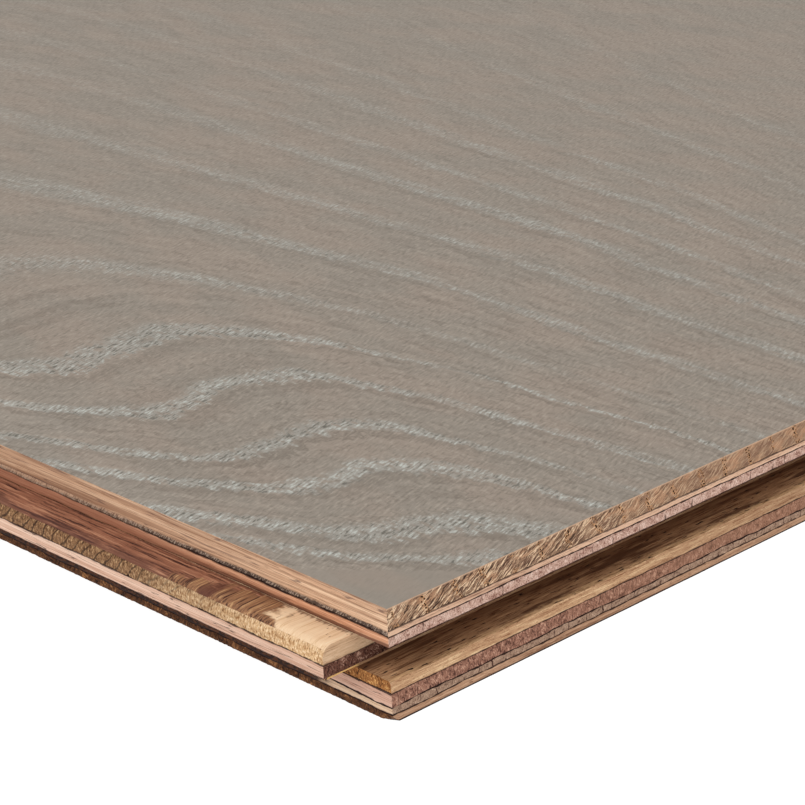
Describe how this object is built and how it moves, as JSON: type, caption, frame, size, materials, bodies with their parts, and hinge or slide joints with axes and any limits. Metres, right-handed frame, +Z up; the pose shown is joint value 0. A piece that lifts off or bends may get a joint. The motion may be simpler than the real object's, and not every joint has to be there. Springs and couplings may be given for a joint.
{
  "type": "wide plank floorboard",
  "caption": "Wide engineered floorboard: oak face on crosswise glued plies, tongue on one long side and one end, groove on the other two.",
  "frame": {"origin": "on the underside, in the middle of the outer box, tongues included", "axes": "+X along the board towards the grooved end, +Y across it towards the grooved long side, +Z up out of the oak face"},
  "size_m": [2.2052, 0.305, 0.015],
  "materials": {
    "oak_wear_layer": "matt grey-taupe oil on the face, bare oak on the edges",
    "upper_cross_veneer": "bare rotary-cut veneer, sawn edges",
    "upper_long_ply": "bare pinkish veneer, sawn edges",
    "tongue_cross_ply": "bare pale veneer, milled",
    "tongue_long_ply": "bare pinkish veneer, dark at its end grain, milled",
    "lip_cross_ply": "bare golden veneer, milled",
    "lower_long_ply": "bare purple-pink veneer, sawn edges",
    "backing_long_ply": "bare grey-beige veneer, sawn edges",
    "backing_cross_ply": "bare tan veneer, dark at its end grain"
  },
  "bodies": {
    "root": {"oak_wear_layer": "oak_wear_layer", "upper_cross_veneer": "upper_cross_veneer", "upper_long_ply": "upper_long_ply", "tongue_cross_ply": "tongue_cross_ply", "tongue_long_ply": "tongue_long_ply", "lip_cross_ply": "lip_cross_ply", "lower_long_ply": "lower_long_ply", "backing_long_ply": "backing_long_ply", "backing_cross_ply": "backing_cross_ply"}
  },
  "joints": []
}
